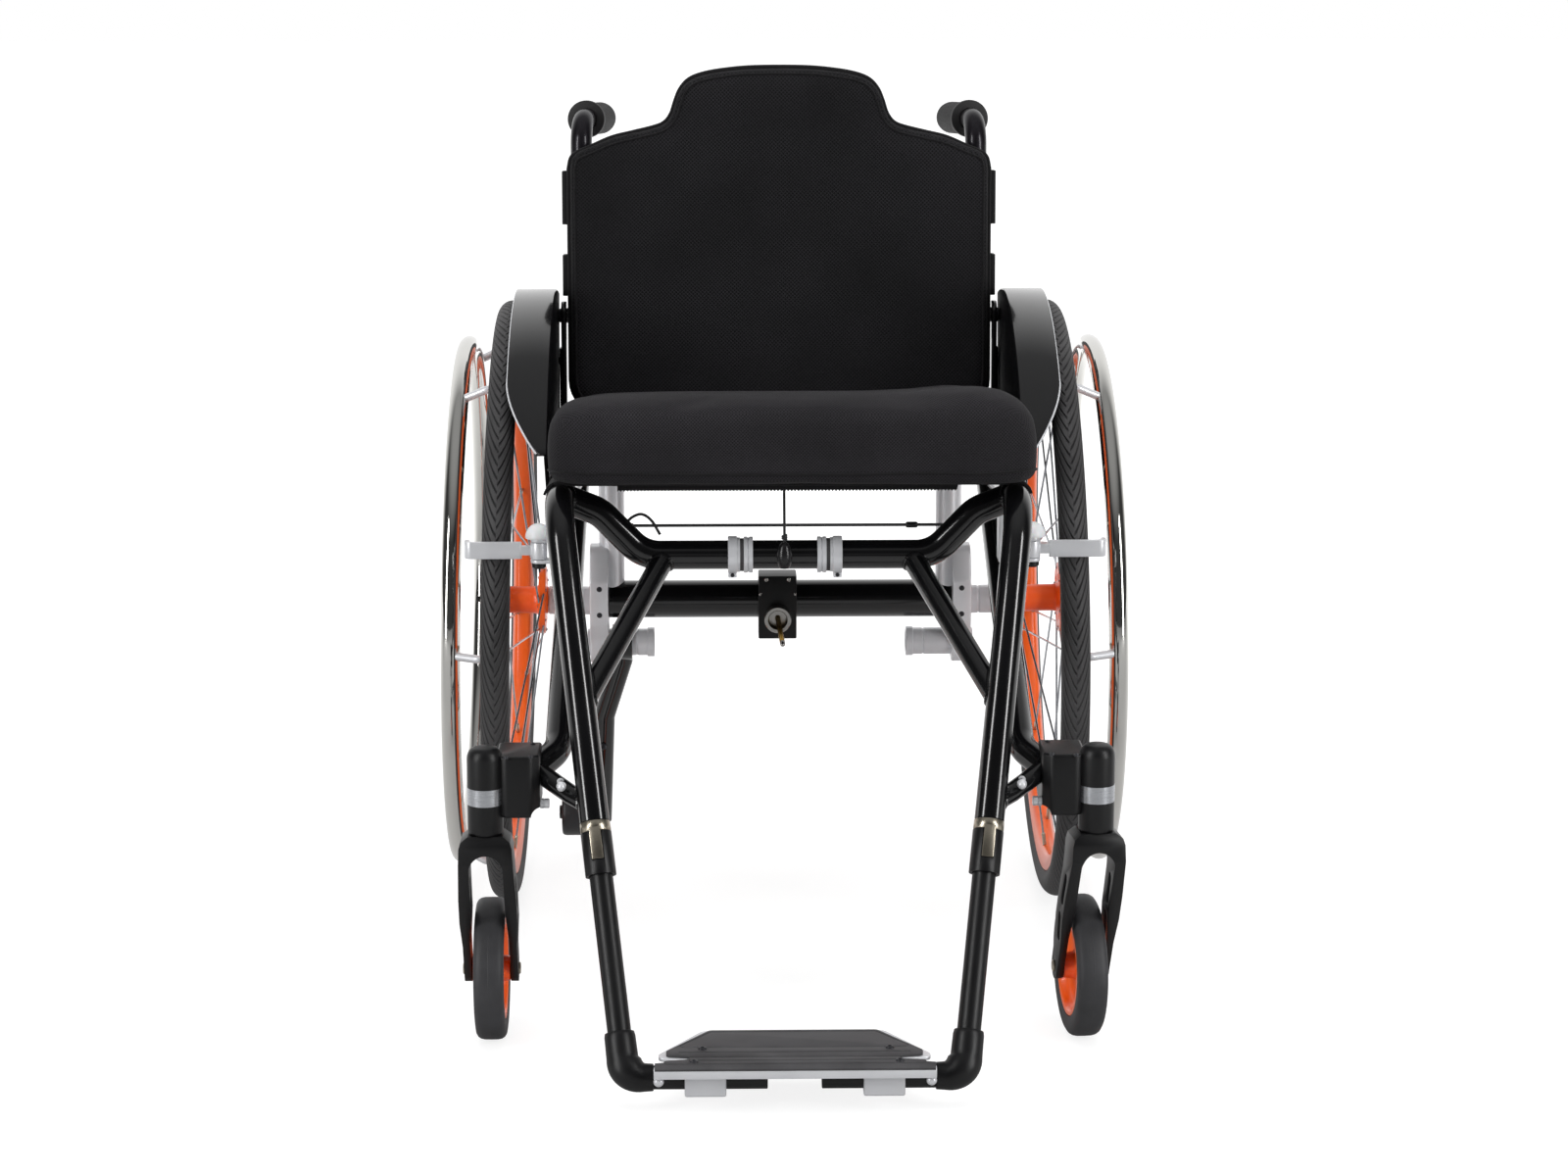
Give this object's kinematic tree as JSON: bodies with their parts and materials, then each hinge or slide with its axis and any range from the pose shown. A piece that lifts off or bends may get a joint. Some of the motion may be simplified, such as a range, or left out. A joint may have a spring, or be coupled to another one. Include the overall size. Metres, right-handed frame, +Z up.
{
  "type": "active wheelchair",
  "caption": "Rigid-frame active wheelchair with cambered rear wheels, handrims, swivelling castors, folding back, sliding legs and footplate.",
  "frame": {"origin": "on the floor, at the middle of the bounding box", "axes": "+X across the chair to the left hand of a seated user, +Y towards the back of the chair, +Z up"},
  "size_m": [0.6452, 0.975, 0.8181],
  "materials": {
    "black_lacquer": "deep gloss black powder coat",
    "satin_black": "satin black",
    "silver_anodised": "satin silver anodised",
    "nickel": "pale satin nickel",
    "orange_lacquer": "gloss orange anodised and lacquered",
    "polished_steel": "polished stainless steel",
    "tyre_rubber": "dark grey rubber tread",
    "castor_rubber": "smooth dark grey castor rubber",
    "grey_metallic": "dark grey metallic",
    "grip_rubber": "matte dark grey grip rubber",
    "mesh_cloth": "black spacer mesh",
    "knit_cloth": "black knitted cover",
    "mat_rubber": "ribbed dark grey rubber",
    "brass": "satin brass",
    "black_cord": "thin braided black cord"
  },
  "bodies": {
    "root": {"side_frame_R": "black_lacquer", "side_frame_L": "black_lacquer", "leg_collar_R": "nickel", "leg_collar_L": "nickel", "frame_stay_R": "black_lacquer", "frame_stay_L": "black_lacquer", "front_cross_tube": "black_lacquer", "tube_clamp_L": "silver_anodised", "tube_clamp_R": "silver_anodised", "axle_tube": "black_lacquer", "axle_carrier_R": "silver_anodised", "axle_carrier_L": "silver_anodised", "coupling_socket": "satin_black", "coupling_pin": "brass", "quick_axle_R": "polished_steel", "quick_axle_L": "polished_steel", "castor_housing_R": "satin_black", "castor_housing_L": "satin_black", "brake_clamp_R": "silver_anodised", "brake_clamp_L": "silver_anodised", "side_guard_R": "black_lacquer", "side_guard_L": "black_lacquer", "back_post_R": "black_lacquer", "back_post_L": "black_lacquer", "seat_sling": "satin_black", "seat_cushion": "knit_cloth", "release_cord": "black_cord", "pull_cord": "black_cord", "pull_toggle": "satin_black"},
    "leg_L": {"lower_leg_L": "satin_black"},
    "leg_R": {"lower_leg_R": "satin_black"},
    "foot": {"footplate": "silver_anodised", "foot_mat": "mat_rubber"},
    "wheel_L": {"rear_tyre_L": "tyre_rubber", "rear_wheel_L": "orange_lacquer", "handrim_L": "polished_steel"},
    "wheel_R": {"rear_tyre_R": "tyre_rubber", "rear_wheel_R": "orange_lacquer", "handrim_R": "polished_steel"},
    "button_L": {"axle_button_L": "satin_black"},
    "button_R": {"axle_button_R": "satin_black"},
    "castor_L": {"castor_fork_L": "satin_black", "castor_axle_L": "nickel"},
    "castor_R": {"castor_fork_R": "satin_black", "castor_axle_R": "nickel"},
    "castor_wheel_L": {"castor_tyre_L": "castor_rubber", "castor_rim_L": "orange_lacquer"},
    "castor_wheel_R": {"castor_tyre_R": "castor_rubber", "castor_rim_R": "orange_lacquer"},
    "brake_L": {"brake_arm_L": "silver_anodised"},
    "brake_R": {"brake_arm_R": "silver_anodised"},
    "back": {"back_cane_L": "grey_metallic", "back_cane_R": "grey_metallic", "push_grip_L": "grip_rubber", "push_grip_R": "grip_rubber", "back_shell": "satin_black", "back_cushion": "mesh_cloth"},
    "tipper": {"antitip_arm": "black_lacquer"},
    "tipper_wheel": {"antitip_wheel": "satin_black"}
  },
  "joints": [
    {"name": "wheel_spin_L", "type": "hinge", "parent": "root", "child": "wheel_L", "pos_m": [-0.2662, 0.1925, 0.29496], "axis": [0.9998, 0, -0.0175], "continuous": true},
    {"name": "wheel_spin_R", "type": "hinge", "parent": "root", "child": "wheel_R", "pos_m": [0.2662, 0.1925, 0.29496], "axis": [0.9998, 0, 0.0175], "continuous": true},
    {"name": "button_push_L", "type": "slide", "parent": "root", "child": "button_L", "axis": [0.9998, 0, -0.0175], "range_m": [0, 0.004], "stiffness_N_per_m": 300},
    {"name": "button_push_R", "type": "slide", "parent": "root", "child": "button_R", "axis": [-0.9998, 0, -0.0175], "range_m": [0, 0.004], "stiffness_N_per_m": 300},
    {"name": "castor_swivel_L", "type": "hinge", "parent": "root", "child": "castor_L", "pos_m": [-0.262, -0.3265, 0.201], "axis": [0, 0, 1], "continuous": true},
    {"name": "castor_spin_L", "type": "hinge", "parent": "castor_L", "child": "castor_wheel_L", "pos_m": [-0.262, -0.2715, 0.0625], "axis": [1, 0, 0], "continuous": true},
    {"name": "castor_swivel_R", "type": "hinge", "parent": "root", "child": "castor_R", "pos_m": [0.262, -0.3265, 0.201], "axis": [0, 0, 1], "continuous": true},
    {"name": "castor_spin_R", "type": "hinge", "parent": "castor_R", "child": "castor_wheel_R", "pos_m": [0.25625, -0.2718, 0.0625], "axis": [0.9945, 0.1045, 0], "continuous": true},
    {"name": "brake_turn_L", "type": "hinge", "parent": "root", "child": "brake_L", "pos_m": [-0.2245, -0.08901, 0.3925], "axis": [0, 0, 1], "range_deg": [0, 80]},
    {"name": "brake_turn_R", "type": "hinge", "parent": "root", "child": "brake_R", "pos_m": [0.2245, -0.08901, 0.3925], "axis": [0, 0, -1], "range_deg": [0, 80]},
    {"name": "back_fold", "type": "hinge", "parent": "root", "child": "back", "pos_m": [0, 0.2475, 0.57], "axis": [1, 0, 0], "range_deg": [0, 80]},
    {"name": "leg_slide_L", "type": "slide", "parent": "root", "child": "leg_L", "axis": [-0.1185, 0.4579, 0.8811], "range_m": [0, 0.06]},
    {"name": "leg_slide_R", "type": "slide", "parent": "root", "child": "leg_R", "axis": [0.1185, 0.4579, 0.8811], "range_m": [0, 0.06]},
    {"name": "footplate_flip", "type": "hinge", "parent": "leg_L", "child": "foot", "pos_m": [0, -0.4625, 0.0275], "axis": [1, 0, 0], "range_deg": [0, 85]},
    {"name": "tipper_swing", "type": "hinge", "parent": "root", "child": "tipper", "pos_m": [-0.166, 0.1925, 0.25146], "axis": [1, 0, 0], "range_deg": [-100, 0]},
    {"name": "tipper_roll", "type": "hinge", "parent": "tipper", "child": "tipper_wheel", "pos_m": [-0.2078, 0.2925, 0.05], "axis": [1, 0, 0], "continuous": true}
  ],
  "couplings": [
    {"joint": "leg_slide_R", "follows": "leg_slide_L", "ratio": 1}
  ]
}
